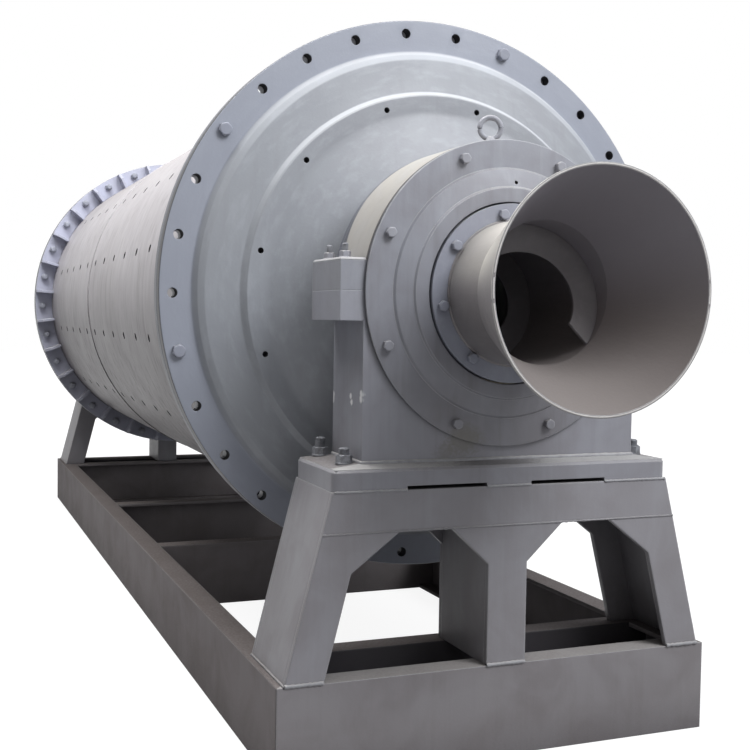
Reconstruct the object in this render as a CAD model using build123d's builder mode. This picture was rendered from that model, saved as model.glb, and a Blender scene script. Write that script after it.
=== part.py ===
from build123d import *
from math import cos, radians, sin
import os

# Ball mill, 1.2 m shell by 3 m long, on two box stands and a channel frame.
# Millimetres, +Z up, the mill axis along Y, the discharge end towards -Y.
# The origin is on the floor, at the middle of the frame.

# Shell and its flanges
shell_length = 3020
shell_radius = 614
shell_plate = 14
flange_width = 76
flange_thickness = 30
flange_chamfer = 4
flange_bolt_inset = 32
flange_bolt_hole = 24
flange_bolt_count = 30
bolt_hole_sides = 10
discharge_bolt_angle = 6.5
feed_bolt_angle = 8
rib_thickness = 12
rib_depth = 64
rib_corner = 22

# Heads, from the shell inwards: a lip, a shallow dish, a flat ring and a steep cone
head_lip_width = 13
head_lip_rise = 20
head_dish_width = 94
head_dish_rise = 22
head_ring_bevel = 13
head_ring_rise = 18
head_ring_width = 48
head_cone_rise = 116
head_neck_width = 32
head_neck_rise = 22
head_wall = 40

# Trunnions, the tubes in them and the discharge trumpet
tube_radius = 157
tube_wall = 6
tube_clearance = 3
tube_inset = 266
trunnion_wall = 30
trunnion_overhang = 10
tube_flange_width = 39
tube_flange_thickness = 25
tube_bolt_inset = 23
tube_bolt_hole = 18
tube_bolt_count = 8
neck_length = 135
mouth_flare = 86
mouth_length = 228

# Spiral flight in the discharge tube
flight_inner_radius = 90
flight_thickness = 6
flight_pitch = 290
flight_end_gap = 20
flight_mouth_gap = 8
flight_start_angle = 135

# Bearings
journal_gap = 0.2
seat_gap = 0.3
bush_thickness = 40
housing_wall = 108
housing_depth = 183
neck_clearance = 20
inner_cover_thickness = 14
lug_reach = 53
lug_height = 64
cap_wall = 24
cap_boss_radius = 24
cap_boss_height = 6
cover_bore_gap = 5
cover_nose_width = 28
cover_nose_height = 19
cover_slope_width = 42
cover_thickness = 10
cover_foot_gap = 39
sole_thickness = 45
sole_overhang = 75
sole_margin = 34
sole_corner_radius = 18
sole_edge_chamfer = 5
relief_width = 190
relief_height = 8
relief_inset = 55

# Bearing stands
stand_height = 400
stand_flare = 101
stand_plate = 14
side_plate = 12
leg_width = 86
post_width = 96
header_height = 88
gusset_width = 90
gusset_height = 85

# Base frame
frame_margin = 17
beam_depth = 206
beam_flange_width = 62
beam_web_thickness = 9
beam_flange_thickness = 11
middle_beam_spacing = 880

# Radii that follow, outwards from the tubes
tube_bore = tube_radius - tube_wall
tube_flange_radius = tube_radius + tube_flange_width
tube_bolt_circle = tube_flange_radius - tube_bolt_inset
mouth_radius = tube_radius + mouth_flare
trunnion_bore = tube_radius + tube_clearance
journal_radius = trunnion_bore + trunnion_wall
saddle_radius = journal_radius + bush_thickness
cover_radius = saddle_radius + housing_wall
cover_bore = tube_flange_radius + cover_bore_gap
flange_radius = shell_radius + flange_width
flange_bolt_circle = flange_radius - flange_bolt_inset

# Stations that follow, from the middle of the shell out to the trumpet's mouth
shell_end = shell_length / 2
head_face = shell_end + flange_thickness
dish_station = head_face + head_lip_rise + head_dish_rise
ring_station = dish_station + head_ring_rise
cone_station = ring_station + head_cone_rise
neck_station = cone_station + head_neck_rise
housing_inner_face = neck_station + neck_clearance + inner_cover_thickness
bearing_station = housing_inner_face + housing_depth / 2
housing_outer_face = housing_inner_face + housing_depth
trunnion_end = housing_outer_face + trunnion_overhang
tube_face = trunnion_end + tube_flange_thickness
tube_start = trunnion_end - tube_inset
seam_station = tube_face + neck_length
mouth_station = seam_station + mouth_length

# Widths and levels that follow, from the bearings down to the floor
housing_width = 2 * cover_radius
cap_width = housing_width + 2 * lug_reach
stand_depth = housing_depth + 2 * sole_margin
half_top = cover_radius + sole_overhang
half_bottom = half_top + stand_flare
half_frame = half_bottom + frame_margin
half_length = bearing_station + stand_depth / 2
stand_foot = beam_depth
stand_top = stand_foot + stand_height
sole_top = stand_top + sole_thickness
axis_height = sole_top + cover_foot_gap + cover_radius
mill_axis = Axis((0, 0, axis_height), (0, 1, 0))


def outward(end, distance):
    """Upright plane across the mill axis, facing out of one end, +Y or -Y."""
    return Plane((0, end * distance, axis_height), x_dir=(-end, 0, 0), z_dir=(0, end, 0))


def radial(turn):
    """Direction out from the mill axis, turned from the top towards -X."""
    return Vector(-sin(radians(turn)), 0, cos(radians(turn)))


def lengthwise(end, turn=0):
    """Plane through the mill axis: X runs out of one end and Y is the radius."""
    out = Vector(0, end, 0)
    return Plane((0, 0, axis_height), x_dir=out, z_dir=out.cross(radial(turn)))


def floor_plane(end, distance):
    """Upright plane across the mill axis at floor level, facing out of one end."""
    return Plane((0, end * distance, 0), x_dir=(-end, 0, 0), z_dir=(0, end, 0))


def save(builder, name):
    builder.part.label = name
    export_step(builder.part, f"parts/{name}.step")


def channel_outline(x_web, x_toes, low, high, web, flange):
    """Corner points of a channel section from its web to the toes of its flanges."""
    side = 1 if x_toes > x_web else -1
    x_inside = x_web + side * web
    return [
        (x_web, low),
        (x_toes, low),
        (x_toes, low + flange),
        (x_inside, low + flange),
        (x_inside, high - flange),
        (x_toes, high - flange),
        (x_toes, high),
        (x_web, high),
    ]


def half_width(level):
    """Half the width of a stand at a level above the floor."""
    return half_bottom - (level - stand_foot) * stand_flare / stand_height


os.makedirs("parts", exist_ok=True)


# Base frame
inner_flange_edge = half_frame - beam_flange_width
for side, name in ((-1, "left"), (1, "right")):
    with BuildPart() as side_beam:
        with BuildSketch(Plane.XZ.offset(-half_length)):
            with BuildLine():
                Polyline(
                    channel_outline(
                        side * half_frame,
                        side * inner_flange_edge,
                        0,
                        beam_depth,
                        beam_web_thickness,
                        beam_flange_thickness,
                    ),
                    close=True,
                )
            make_face()
        extrude(amount=2 * half_length)
        for end in (-1, 1):
            corner = (side * half_frame, end * half_length, 0)
            split(bisect_by=Plane(corner, z_dir=(side, -end, 0)), keep=Keep.TOP)
    save(side_beam, f"side_beam_{name}")

for end, name in ((-1, "discharge"), (1, "feed")):
    with BuildPart() as end_beam:
        with BuildSketch(Plane.YZ.offset(-half_frame)):
            with BuildLine():
                Polyline(
                    channel_outline(
                        end * half_length,
                        end * (half_length - beam_flange_width),
                        0,
                        beam_depth,
                        beam_web_thickness,
                        beam_flange_thickness,
                    ),
                    close=True,
                )
            make_face()
        extrude(amount=2 * half_frame)
        for side in (-1, 1):
            corner = (side * half_frame, end * half_length, 0)
            split(bisect_by=Plane(corner, z_dir=(-side, end, 0)), keep=Keep.TOP)
    save(end_beam, f"{name}_end_beam")

rear_edge = bearing_station - stand_depth / 2
stand_beam_station = rear_edge + stand_plate / 2
cross_beams = {
    "discharge_stand_beam": (-1, stand_beam_station),
    "discharge_middle_beam": (-1, middle_beam_spacing / 2),
    "feed_middle_beam": (1, middle_beam_spacing / 2),
    "feed_stand_beam": (1, stand_beam_station),
}
for name, (end, station) in cross_beams.items():
    web_face = end * (station + beam_flange_width / 2)
    toes = end * (station - beam_flange_width / 2)
    with BuildPart() as cross_beam:
        with BuildSketch(Plane.YZ.offset(-inner_flange_edge)):
            with BuildLine():
                Polyline(
                    channel_outline(
                        web_face, toes, 0, beam_depth, beam_web_thickness, beam_flange_thickness
                    ),
                    close=True,
                )
            make_face()
        extrude(amount=2 * inner_flange_edge)
        coped_web = 2 * (half_frame - beam_web_thickness)
        web_height = beam_depth - 2 * beam_flange_thickness
        with Locations((0, web_face - end * beam_web_thickness / 2, beam_depth / 2)):
            Box(coped_web, beam_web_thickness, web_height)
    save(cross_beam, name)


# Bearing stands
window_top = stand_top - header_height
window_inner = post_width / 2
window_outer_foot = half_width(stand_foot) - leg_width
window_outer_chamfer = half_width(window_top - gusset_height) - leg_width
window_outer_top = half_width(window_top) - leg_width
window_outline = [
    (window_inner, stand_foot),
    (window_outer_foot, stand_foot),
    (window_outer_chamfer, window_top - gusset_height),
    (window_outer_top - gusset_width, window_top),
    (window_inner + gusset_width, window_top),
    (window_inner, window_top - gusset_height),
]
stand_faces = {"front_plate": half_length, "rear_plate": rear_edge + stand_plate}
between_plates = stand_depth - 2 * stand_plate
between_station = bearing_station + between_plates / 2

for end, name in ((-1, "discharge"), (1, "feed")):
    for plate_name, face in stand_faces.items():
        with BuildPart() as windowed_plate:
            with BuildSketch(floor_plane(end, face)):
                with BuildLine():
                    Polyline(
                        (-half_bottom, stand_foot),
                        (half_bottom, stand_foot),
                        (half_top, stand_top),
                        (-half_top, stand_top),
                        close=True,
                    )
                make_face()
                for side in (-1, 1):
                    with BuildLine():
                        Polyline([(side * x, z) for x, z in window_outline], close=True)
                    make_face(mode=Mode.SUBTRACT)
            extrude(amount=-stand_plate)
        save(windowed_plate, f"{name}_{plate_name}")

    for side, side_name in ((-1, "left"), (1, "right")):
        with BuildPart() as side_wall:
            with BuildSketch(floor_plane(end, between_station)):
                outer_foot = -end * side * half_bottom
                outer_top = -end * side * half_top
                inset = end * side * side_plate
                with BuildLine():
                    Polyline(
                        (outer_foot, stand_foot),
                        (outer_top, stand_top),
                        (outer_top + inset, stand_top),
                        (outer_foot + inset, stand_foot),
                        close=True,
                    )
                make_face()
            extrude(amount=-between_plates)
        save(side_wall, f"{name}_side_plate_{side_name}")

        web_centre = side * (post_width - side_plate) / 2
        web_top = stand_top - stand_plate
        with BuildPart() as post_web:
            with Locations((web_centre, end * bearing_station, (stand_foot + web_top) / 2)):
                Box(side_plate, between_plates, web_top - stand_foot)
        save(post_web, f"{name}_post_web_{side_name}")

    with BuildPart() as top_plate:
        inner_top = half_top - side_plate
        inner_low = half_width(stand_top - stand_plate) - side_plate
        with BuildSketch(floor_plane(end, between_station)):
            with BuildLine():
                Polyline(
                    (-inner_low, stand_top - stand_plate),
                    (inner_low, stand_top - stand_plate),
                    (inner_top, stand_top),
                    (-inner_top, stand_top),
                    close=True,
                )
            make_face()
        extrude(amount=-between_plates)
    save(top_plate, f"{name}_top_plate")


# Bearings
relief_centre = relief_inset + relief_width / 2
for end, name in ((-1, "discharge"), (1, "feed")):
    with BuildPart() as bearing_base:
        with BuildSketch(Plane.XY.offset(stand_top)):
            with Locations((0, end * bearing_station)):
                Rectangle(2 * half_top, stand_depth)
        extrude(amount=sole_thickness)
        fillet(bearing_base.edges().filter_by(Axis.Z), radius=sole_corner_radius)
        chamfer(bearing_base.faces().sort_by(Axis.Z)[-1].edges(), length=sole_edge_chamfer)
        with BuildSketch(Plane.XY.offset(sole_top)):
            with Locations((0, end * bearing_station)):
                Rectangle(housing_width, housing_depth)
        extrude(amount=axis_height - sole_top)
        with BuildSketch(Plane.XY.offset(axis_height)):
            with Locations((0, end * bearing_station)):
                Rectangle(cap_width, housing_depth)
        extrude(amount=-lug_height)
        with BuildSketch(outward(end, housing_outer_face)):
            Circle(saddle_radius)
        extrude(amount=-housing_depth, mode=Mode.SUBTRACT)
        relief_spots = [(-relief_centre, end * bearing_station), (relief_centre, end * bearing_station)]
        with BuildSketch(Plane.XY.offset(stand_top)):
            with Locations(*relief_spots):
                Rectangle(relief_width, stand_depth)
        extrude(amount=relief_height, mode=Mode.SUBTRACT)
    save(bearing_base, f"{name}_bearing_base")

    with BuildPart() as bearing_bush:
        with BuildSketch(outward(end, housing_outer_face)):
            Circle(saddle_radius - seat_gap)
            Circle(journal_radius + journal_gap, mode=Mode.SUBTRACT)
            with Locations((0, saddle_radius / 2)):
                Rectangle(2 * saddle_radius, saddle_radius, mode=Mode.SUBTRACT)
        extrude(amount=-housing_depth)
    save(bearing_bush, f"{name}_bush")

    with BuildPart() as bearing_cap:
        with BuildSketch(outward(end, housing_outer_face)):
            Circle(cover_radius)
            with Locations((0, lug_height / 2)):
                Rectangle(cap_width, lug_height)
            Circle(cover_radius - cap_wall, mode=Mode.SUBTRACT)
            with Locations((0, -cover_radius / 2)):
                Rectangle(cap_width, cover_radius, mode=Mode.SUBTRACT)
        extrude(amount=-housing_depth)
        with BuildSketch(Plane.XY.offset(axis_height + cover_radius - cap_wall / 2)):
            with Locations((0, end * bearing_station)):
                Circle(cap_boss_radius)
        extrude(amount=cap_wall / 2 + cap_boss_height)
    save(bearing_cap, f"{name}_bearing_cap")

    cover_face = housing_outer_face + cover_thickness
    nose_face = cover_face + cover_nose_height
    nose_edge = cover_bore + cover_nose_width
    slope_edge = nose_edge + cover_slope_width
    with BuildPart() as outer_cover:
        with BuildSketch(lengthwise(end)):
            with BuildLine():
                Polyline(
                    (housing_outer_face, cover_bore),
                    (housing_outer_face, cover_radius),
                    (cover_face, cover_radius),
                    (cover_face, slope_edge),
                    (nose_face, nose_edge),
                    (nose_face, cover_bore),
                    close=True,
                )
            make_face()
        revolve(axis=mill_axis)
    save(outer_cover, f"{name}_outer_cover")

    with BuildPart() as inner_cover:
        with BuildSketch(outward(end, housing_inner_face)):
            Circle(cover_radius)
            Circle(journal_radius + cover_bore_gap, mode=Mode.SUBTRACT)
        extrude(amount=-inner_cover_thickness)
    save(inner_cover, f"{name}_inner_cover")


# Shell and its flanges
with BuildPart() as shell:
    with BuildSketch(outward(1, shell_end)):
        Circle(shell_radius)
        Circle(shell_radius - shell_plate, mode=Mode.SUBTRACT)
    extrude(amount=-shell_length)
save(shell, "shell")

for end, name, bolt_angle in (
    (-1, "discharge", discharge_bolt_angle),
    (1, "feed", feed_bolt_angle),
):
    with BuildPart() as shell_flange:
        with BuildSketch(outward(end, shell_end)):
            Circle(flange_radius)
            Circle(shell_radius + seat_gap, mode=Mode.SUBTRACT)
        extrude(amount=-flange_thickness)
        rim_edges = shell_flange.edges().filter_by(GeomType.CIRCLE).group_by(SortBy.RADIUS)[-1]
        chamfer(rim_edges.sort_by(Axis.Y)[0 if end < 0 else -1], length=flange_chamfer)
        if end < 0:
            with BuildSketch(outward(end, shell_end)):
                with PolarLocations(flange_bolt_circle, flange_bolt_count, start_angle=90 + bolt_angle):
                    RegularPolygon(flange_bolt_hole / 2, bolt_hole_sides)
            extrude(amount=-flange_thickness, mode=Mode.SUBTRACT)
        else:
            rib_face = shell_end - flange_thickness
            rib_root = shell_radius + seat_gap
            rib_pitch = 360 / flange_bolt_count
            for index in range(flange_bolt_count):
                turn = bolt_angle + (index + 0.5) * rib_pitch
                with BuildSketch(lengthwise(end, turn)):
                    with BuildLine():
                        Polyline(
                            (rib_face, rib_root),
                            (rib_face, flange_radius),
                            (rib_face - rib_depth + rib_corner, flange_radius),
                            (rib_face - rib_depth, flange_radius - rib_corner),
                            (rib_face - rib_depth, rib_root),
                            close=True,
                        )
                    make_face()
                extrude(amount=rib_thickness / 2, both=True)
    save(shell_flange, f"{name}_shell_flange")


# Heads, each with its hollow trunnion
lip_radius = shell_radius - head_lip_width
dish_radius = lip_radius - head_dish_width
ring_radius = dish_radius - head_ring_bevel
cone_radius = ring_radius - head_ring_width
neck_radius = journal_radius + head_neck_width
head_line = [
    (shell_end, flange_radius),
    (head_face, flange_radius),
    (head_face, shell_radius),
    (head_face + head_lip_rise, lip_radius),
    (dish_station, dish_radius),
    (ring_station, ring_radius),
    (ring_station, cone_radius),
    (cone_station, neck_radius),
    (neck_station, journal_radius),
    (trunnion_end, journal_radius),
    (trunnion_end, trunnion_bore),
    (neck_station - head_wall, trunnion_bore),
    (ring_station - head_wall, cone_radius),
    (shell_end, lip_radius - head_wall / 2),
]
for end, name in ((-1, "discharge"), (1, "feed")):
    with BuildPart() as head:
        with BuildSketch(lengthwise(end)):
            with BuildLine():
                Polyline(head_line, close=True)
            make_face()
        revolve(axis=mill_axis)
        rim_edges = head.edges().filter_by(GeomType.CIRCLE).group_by(SortBy.RADIUS)[-1]
        chamfer(rim_edges.sort_by(Axis.Y)[-1 if end < 0 else 0], length=flange_chamfer)
        if end < 0:
            with BuildSketch(outward(end, head_face)):
                with PolarLocations(
                    flange_bolt_circle, flange_bolt_count, start_angle=90 + discharge_bolt_angle
                ):
                    RegularPolygon(flange_bolt_hole / 2, bolt_hole_sides)
            extrude(amount=-flange_thickness, mode=Mode.SUBTRACT)
    save(head, f"{name}_head")


# Trunnion tubes, their flanges and the discharge trumpet
with BuildPart() as trumpet:
    with BuildSketch(lengthwise(-1)):
        with BuildLine():
            Polyline(
                (tube_start, tube_radius),
                (seam_station, tube_radius),
                (mouth_station, mouth_radius),
                (mouth_station, mouth_radius - tube_wall),
                (seam_station, tube_bore),
                (tube_start, tube_bore),
                close=True,
            )
        make_face()
    revolve(axis=mill_axis)
save(trumpet, "discharge_trumpet")

with BuildPart() as inlet_tube:
    with BuildSketch(outward(1, tube_face)):
        Circle(tube_radius)
        Circle(tube_bore, mode=Mode.SUBTRACT)
    extrude(amount=tube_start - tube_face)
save(inlet_tube, "feed_inlet_tube")

for end, name in ((-1, "discharge"), (1, "feed")):
    with BuildPart() as tube_flange:
        with BuildSketch(outward(end, trunnion_end)):
            Circle(tube_flange_radius)
            Circle(tube_radius + seat_gap, mode=Mode.SUBTRACT)
            if end > 0:
                with PolarLocations(tube_bolt_circle, tube_bolt_count):
                    Circle(tube_bolt_hole / 2, mode=Mode.SUBTRACT)
        extrude(amount=tube_flange_thickness)
    save(tube_flange, f"{name}_tube_flange")

flight_width = tube_bore - seat_gap - flight_inner_radius
flight_middle = flight_inner_radius + flight_width / 2
flight_face = seam_station - flight_mouth_gap
flight_length = flight_face - tube_start - flight_end_gap
flight_start = radial(-flight_start_angle)
flight_plane = Plane((0, -flight_face, axis_height), x_dir=flight_start, z_dir=(0, 1, 0))
flight_helix = Helix(flight_pitch, flight_length, flight_middle, lefthand=True)
flight_path = flight_plane.location * flight_helix
with BuildPart() as flight:
    with BuildSketch(Plane(flight_path @ 0, x_dir=flight_start, z_dir=flight_path % 0)):
        Rectangle(flight_width, flight_thickness)
    sweep(path=flight_path, is_frenet=True)
save(flight, "discharge_flight")
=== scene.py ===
import math
import random

import bmesh
import bpy
from mathutils import Matrix, Vector, noise


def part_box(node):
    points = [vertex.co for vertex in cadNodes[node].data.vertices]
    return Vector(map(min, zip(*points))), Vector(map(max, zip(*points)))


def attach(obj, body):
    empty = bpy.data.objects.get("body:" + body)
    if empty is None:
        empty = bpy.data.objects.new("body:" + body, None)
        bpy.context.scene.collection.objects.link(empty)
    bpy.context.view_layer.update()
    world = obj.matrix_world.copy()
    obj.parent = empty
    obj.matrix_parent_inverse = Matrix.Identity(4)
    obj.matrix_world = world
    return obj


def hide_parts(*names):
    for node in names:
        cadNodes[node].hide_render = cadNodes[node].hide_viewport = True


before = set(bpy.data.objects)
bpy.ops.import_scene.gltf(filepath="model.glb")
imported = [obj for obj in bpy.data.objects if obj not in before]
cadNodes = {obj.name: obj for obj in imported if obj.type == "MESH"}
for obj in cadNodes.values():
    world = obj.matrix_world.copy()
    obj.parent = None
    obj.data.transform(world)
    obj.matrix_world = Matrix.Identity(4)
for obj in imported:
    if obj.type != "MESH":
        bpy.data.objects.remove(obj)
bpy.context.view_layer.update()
random.seed(7)
print("stage: frame loaded")

solePlate = 0.045  # thickness of a bearing's sole
coverPlate = 0.010  # how far a cover's bolting face stands off the housing
shellLow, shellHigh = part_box("shell")
capLow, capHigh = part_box("discharge_bearing_cap")
plateLow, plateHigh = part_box("discharge_front_plate")
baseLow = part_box("discharge_bearing_base")[0]
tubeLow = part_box("discharge_tube_flange")[0]
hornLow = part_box("discharge_trumpet")[0]
axisHeight = (shellLow.z + shellHigh.z) / 2
shellRadius = shellHigh.x
shellEnd = shellHigh.y
standTop = plateHigh.z
soleTop = baseLow.z + solePlate
standFace = -plateLow.y
coverFace = -capLow.y + coverPlate
bearingStation = -(capLow.y + capHigh.y) / 2


# One socket of a shader tree, so that sums read as plain arithmetic.
class Wire:
    def __init__(self, tree, socket):
        self.tree = tree
        self.socket = socket

    def maths(self, operation, first, second=0.0, clamp=False):
        return self.tree.node("Math", {"operation": operation, "use_clamp": clamp}, {0: first, 1: second})

    def __add__(self, other):
        return self.maths("ADD", self, other)

    def __sub__(self, other):
        return self.maths("SUBTRACT", self, other)

    def __rsub__(self, other):
        return self.maths("SUBTRACT", other, self)

    def __mul__(self, other):
        return self.maths("MULTIPLY", self, other)

    def __truediv__(self, other):
        return self.maths("DIVIDE", self, other)

    def __rtruediv__(self, other):
        return self.maths("DIVIDE", other, self)

    __radd__ = __add__
    __rmul__ = __mul__

    def clamped(self):
        return self.maths("ADD", self, 0.0, clamp=True)

    def size(self):
        return self.maths("ABSOLUTE", self)

    def over(self, low, high):
        # a soft step from 0 at low to 1 at high
        settings = {"interpolation_type": "SMOOTHSTEP"}
        return self.tree.node("MapRange", settings, {0: self, 1: low, 2: high, 3: 0.0, 4: 1.0})


# A material's or the world's shader tree, in which one method makes any node.
class Tree:
    def __init__(self, owner):
        owner.use_nodes = True
        self.owner = owner
        self.nodes = owner.node_tree.nodes
        self.links = owner.node_tree.links
        self.nodes.clear()

    def node(self, kind, settings=None, inputs=None, output=0):
        made = self.nodes.new("ShaderNode" + kind)
        for key, value in (settings or {}).items():
            setattr(made, key, value)
        for key, value in (inputs or {}).items():
            if isinstance(value, Wire):
                self.links.new(value.socket, made.inputs[key])
            else:
                made.inputs[key].default_value = value
        return Wire(self, made.outputs[output]) if len(made.outputs) else made

    def place(self):
        return self.node("TexCoord", output="Object")

    def parts(self, vector):
        split = self.node("SeparateXYZ", None, {0: vector}).socket.node
        return [Wire(self, socket) for socket in split.outputs]

    def joined(self, x, y, z):
        return self.node("CombineXYZ", None, {0: x, 1: y, 2: z})

    def mixed(self, factor, first, second):
        return self.node("Mix", {"data_type": "RGBA"}, {0: factor, 6: first, 7: second}, output=2)

    def clouds(self, vector, scale, detail=2.0, rough=0.55, warp=0.0):
        inputs = {"Vector": vector, "Scale": scale, "Detail": detail, "Roughness": rough, "Distortion": warp}
        return self.node("TexNoise", None, inputs)

    def length(self, vector):
        return self.node("VectorMath", {"operation": "LENGTH"}, {0: vector}, output=1)

    def apart(self, first, second):
        return self.node("VectorMath", {"operation": "DISTANCE"}, {0: first, 1: second}, output=1)

    def facing(self, first, second):
        return self.node("VectorMath", {"operation": "DOT_PRODUCT"}, {0: first, 1: second}, output=1)

    def finish(self, shader, kind="Material"):
        self.node("Output" + kind, None, {0: shader})
        return self.owner


def rgb(red, green, blue):
    # display values from 0 to 255, as scene-linear colour
    made = []
    for value in (red, green, blue):
        share = value / 255
        made.append(share / 12.92 if share <= 0.04045 else ((share + 0.055) / 1.055) ** 2.4)
    return (*made, 1.0)


grainScale = {"upright": (14, 14, 2), "round": (5, 5, 26), "rolled": (2.5, 22, 0)}  # fineness of brush marks


# A coat of paint in the making: where it lies, its noises and its colour so far.
class Coat:
    def __init__(self, name, look):
        t = Tree(bpy.data.materials.new(name))
        self.tree = t
        self.look = look
        self.place = t.place()
        self.x, self.y, self.z = t.parts(self.place)
        self.rise = self.z - axisHeight
        self.out = t.length(t.joined(self.x, 0.0, self.rise))
        self.surface = t.node("NewGeometry", output="Normal")
        self.across, self.along, self.upward = t.parts(self.surface)
        self.blotch = t.clouds(self.place, look["blotchScale"], 3, 0.6, 0.6)
        self.streak = t.clouds(self.grain(), 1.6, 3, 0.6)
        self.fine = t.clouds(self.place, 150, 2)
        self.colour = rgb(*look["colour"])

    def grain(self):
        # brushed round the axis, rolled along it, or run down a standing plate
        first, second, third = grainScale[self.look["grain"]]
        if self.look["grain"] == "upright":
            return self.tree.joined(self.x * first, self.y * second, self.z * third)
        turn = self.x.maths("ARCTAN2", self.x, self.rise)
        return self.tree.joined(turn * first, self.y * second, self.out * third)

    def laid(self, share, colour):
        # another colour over what is there
        self.colour = self.tree.mixed(share, self.colour, rgb(*colour))


def agedPaint(coat):
    look = coat.look
    wide = coat.tree.clouds(coat.place, 1.3, 1)
    coat.laid(coat.blotch.over(0.34, 0.7) * look["blotch"], look["dark"])
    coat.laid(coat.streak.over(0.45, 0.75) * look["streak"], look["light"])
    coat.laid(wide.over(0.4, 0.65) * look["warm"], look["warmColour"])
    coat.settled = coat.upward.over(0.5, 0.97) * (0.6 + coat.fine.over(0.3, 0.7) * 0.4)
    coat.laid(coat.settled * look["dust"], look["dustColour"])


def paintedLightCrown(coat):
    # painted light: a cream highlight on a round piece's upper side, where light from above falls
    look = coat.look
    rounding = 1 - coat.along.size().over(0.2, 0.7)
    crown = rounding * coat.upward.over(*look["litCreamReach"]) * (0.8 + coat.blotch.over(0.3, 0.7) * 0.2)
    crown = crown * (look["litCreamPlain"] + coat.along.over(0.1, 0.3) * (1 - look["litCreamPlain"]))
    coat.laid(crown * look["litCream"], look["litCreamColour"])


# Where a cap's dark joint and its rear crescent of painted shade lie: heights, and stations from the
# bearing's middle
jointLook = {
    "above": (1.093, 1.094), "face": (0.082, 0.084),
    "rearShadeEnd": 0.0915, "rearShadeWidth": 0.038, "rearShadeTop": (1.05, 1.27),
}


def capJoint(coat):
    # the dark joint at a cap's face, and painted shade on a crescent at its rear
    look = coat.look
    reach = coat.y.size() - bearingStation
    width = jointLook["rearShadeWidth"] * (1 - coat.z.over(*jointLook["rearShadeTop"])) + 0.0001
    rear = (jointLook["rearShadeEnd"] + reach) / width
    crown = look["joint"] * (1 - coat.along.size().over(0.2, 0.5)) * coat.z.over(*jointLook["above"])
    coat.laid((1 - rear.over(0.8, 1.0)) * crown, look["rearShadeColour"])
    coat.laid(reach.over(*jointLook["face"]) * crown, look["jointColour"])


def grimeRunsAndLowShade(coat):
    # darker towards the floor, with dirt runs down the sides; on the shell this darkening is painted shade on
    # its underside
    look = coat.look
    runs = coat.tree.clouds(coat.tree.joined(coat.x * 45, coat.y * 45, coat.z * 2.5), 1, 2).over(0.5, 0.8)
    foot = 1 - coat.z.over(look["grimeShadeLow"], look["grimeShadeTop"])
    coat.laid((foot * 0.8 + runs * 0.25).clamped() * look["grimeAndLowShade"], look["grimeAndShadeColour"])


def insidePaintedLight(coat):
    # the inside of a tube in its own colour, by the side of the axis it faces, with painted light on its
    # downward faces
    look = coat.look
    inward = 1 - (coat.across * coat.x + coat.upward * coat.rise).over(-0.06, 0.02)
    inner = coat.tree.mixed(coat.upward.over(-0.6, 0.4), rgb(*look["insideLitTop"]), rgb(*look["insideColour"]))
    coat.colour = coat.tree.mixed(inward * look["inside"], coat.colour, inner)


def flangeBand(coat):
    coat.laid(coat.out.over(*coat.look["bandReach"]) * coat.look["band"], coat.look["bandColour"])


def paintedRidgeHighlights(coat):
    # painted highlight on the upper side of the head's ridges
    for middle, width in coat.look["highlightRidges"]:
        near = (1 - (coat.out - middle).size().over(width * 0.5, width)) * coat.upward.over(0.1, 0.8)
        coat.laid(near * coat.look["ridgeHighlight"], coat.look["ridgeHighlightColour"])


def litSoleSlope(coat):
    # painted light: the sole's front slope, lighter than its paint where it faces up
    slopeLight = coat.y.size().over(*coat.look["slopeLightReach"]) * coat.upward.over(0.4, 0.8)
    coat.laid(slopeLight * coat.look["slopeLight"], coat.look["slopeLightColour"])


def shutInDirt(coat):
    # painted shade on the faces shut in behind an end beam
    inner = (coat.along * coat.y).over(*coat.look["shadeReach"])
    coat.laid(inner * coat.look["shade"], coat.look["shadeColour"])


def shadedRim(coat):
    # painted shade on the outer rims of the flanges
    coat.laid(coat.out.over(*coat.look["rimShadeReach"]) * coat.look["rim"], coat.look["rimShadeColour"])


def creaseShadeAndSpots(coat):
    look = coat.look
    depth = {"Distance": look["creaseShadeReach"]}
    # painted shade: darker in creases and corners, where ambient occlusion finds them shut in
    coat.shut = 1 - coat.tree.node("AmbientOcclusion", {"samples": 4}, depth, output=1)
    coat.laid(coat.shut.over(0.35, 0.95) * look["creaseShade"], look["creaseShadeColour"])
    for centre, radius, colour, strength in look["spots"]:
        ragged = (coat.blotch - 0.5) * radius * 1.6 + (coat.fine - 0.5) * radius * 0.7
        distance = coat.tree.apart(coat.place, centre) + ragged
        coat.laid((1 - distance.over(radius * 0.35, radius)) * strength, colour)


def rubbedEdges(coat):
    look = coat.look
    coat.soft = coat.tree.node("Bevel", {"samples": 4}, {"Radius": look["edge"]})
    edge = (1 - coat.tree.facing(coat.soft, coat.surface)).over(0.01, 0.16)
    edge = edge * (0.35 + coat.blotch.over(0.35, 0.6) * 0.65) * (1 - coat.shut.over(0.3, 0.6))
    coat.laid(edge * look["rub"], look["rubColour"])


# What only some finishes have, in the order in which it is laid on
ownLayers = (
    ("litCream", paintedLightCrown), ("joint", capJoint), ("grimeAndLowShade", grimeRunsAndLowShade), ("inside", insidePaintedLight),
    ("band", flangeBand), ("highlightRidges", paintedRidgeHighlights), ("slopeLight", litSoleSlope), ("shade", shutInDirt),
    ("rim", shadedRim),
)


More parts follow.
